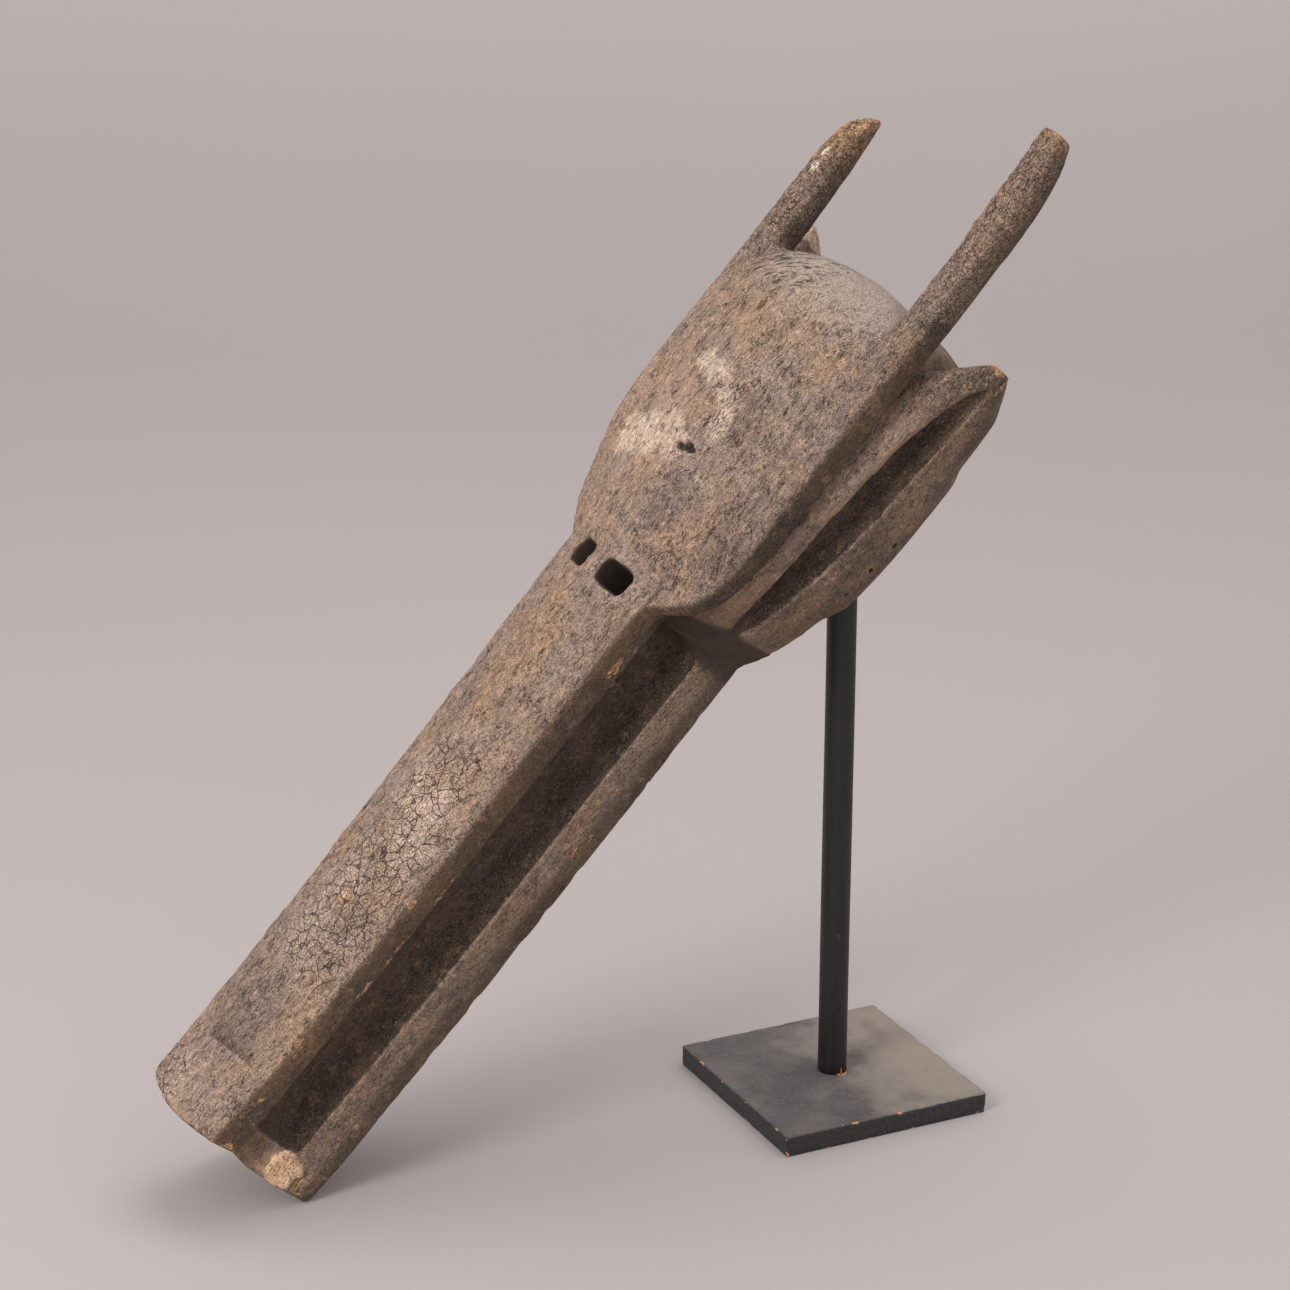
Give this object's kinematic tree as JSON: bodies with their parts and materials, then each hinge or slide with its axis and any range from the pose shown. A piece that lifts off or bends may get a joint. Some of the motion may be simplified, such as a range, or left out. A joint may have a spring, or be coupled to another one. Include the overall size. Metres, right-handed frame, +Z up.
{
  "type": "carved wooden kono helmet mask on a dowel stand",
  "caption": "Hollow carved wood helmet mask with a long slotted snout, ears and horns, leaning nose down on a dowel post with a square foot.",
  "frame": {"origin": "centre of the base plate's underside, on the surface it stands on", "axes": "+Z up; the mask's long axis lies over the X axis in plan, with the tip of the snout on the floor towards -X and the horns rising towards +X"},
  "size_m": [0.7352, 0.2752, 0.8888],
  "materials": {
    "crusted_wood": "crusty grey-brown patina over carved wood, worn to bare wood at the horn tips and corners",
    "black_dowel": "satin black paint, scuffed",
    "black_plywood": "dusty black stain, chipped at the edges"
  },
  "bodies": {
    "root": {"mask": "crusted_wood", "post": "black_dowel", "base_plate": "black_plywood"}
  },
  "joints": []
}
